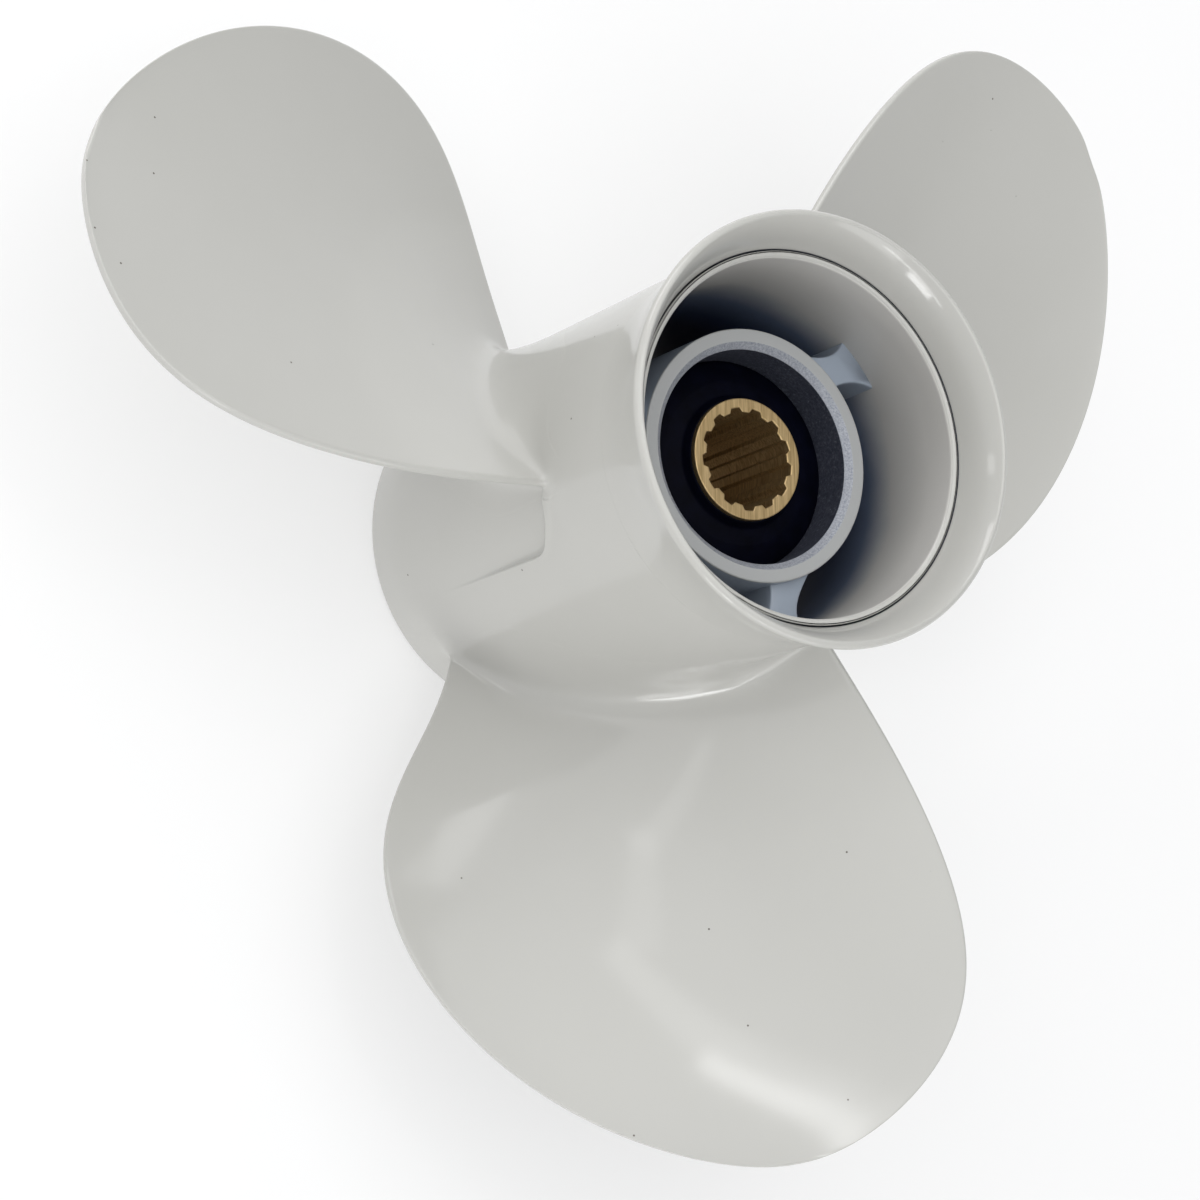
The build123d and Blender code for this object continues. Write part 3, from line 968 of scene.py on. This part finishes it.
paint = white_paint()
metal = sprayed_metal()
bore = shaded_bore_and_dark_joint()
# The inside paints darken with depth as painted shade: the passage runs from brighter than the
# outside paint at the mouth (painted light) to dark navy, and the webs' bluish grey and the tube
# end's grey are painted shade too
passage = depth_shaded_paint("passage_shaded_paint", 50.0, 102.0, (0.590, 0.580, 0.555))
web_shaded_paint = depth_shaded_paint("web_shaded_paint", 44.0, RIB_REAR_Z - 2, (0.290, 0.335, 0.400))
end_shaded_paint = depth_shaded_paint("end_shaded_paint", 52.0, TUBE_REAR_Z - 2, (0.350, 0.358, 0.358))
casing = barrel()
dress(casing, "white_paint_on_aluminium", paint, passage, bore)
paint_faces(casing, casing_paint)
flare = diffuser_ring()
dress(flare, "white_paint_on_aluminium", paint, bore)
paint_faces(flare, flare_paint)
for index in range(COUNT):
    dress(blade(index), "white_paint_on_aluminium", paint)
    dress(rib(index), "white_paint_on_aluminium", web_shaded_paint)
tube = hub_tube()
dress(tube, "white_paint_on_aluminium", end_shaded_paint, metal, bore, web_shaded_paint)
paint_faces(tube, tube_paint)
dress(rubber_bush(), "black_rubber", rubber())
dress(splined_sleeve(), "brass", brass())

floor()
sky(overhead=0.45, horizon=0.72)
# Ceiling lights by place, size, turn and radiance: a large one, and strips that draw the
# bright bands on the blades and the ring
panel("ceiling", (-0.60, -0.65, 1.6), (2.9, 2.7), 0.0, 1.21)
panel("strip_side", (-1.14, -1.0, 1.57), (0.16, 1.2), 0.0, 1.3)
panel("strip_corner", (-1.02, -0.30, 1.56), (0.16, 0.60), -42.0, 1.2)
panel("strip_end", (-0.48, -0.06, 1.55), (0.82, 0.10), -6.0, 2.1)
panel("strip_glint", (-0.26, -0.05, 1.54), (0.34, 0.05), -12.0, 7.0)
panel("strip_far", (-1.68, 0.48, 1.55), (0.24, 0.9), -52.0, 2.0)
# Lights beside the object by place, size and radiance
softbox("side_right", (1.07, -1.19, 0.24), (0.42, 0.24), 12.0)
softbox("side_streak", (1.17, -1.08, 0.42), (1.1, 0.07), 8.0)
softbox("side_left", (-1.19, -1.07, 0.30), (0.25, 0.25), 3.0)
softbox("fill_left", (-1.50, 0.05, 0.60), (0.9, 0.5), 4.8)
softbox("fill_right", (1.50, -0.45, 0.45), (0.9, 0.5), 2.3)
camera()
bpy.context.scene.view_settings.view_transform = "Standard"
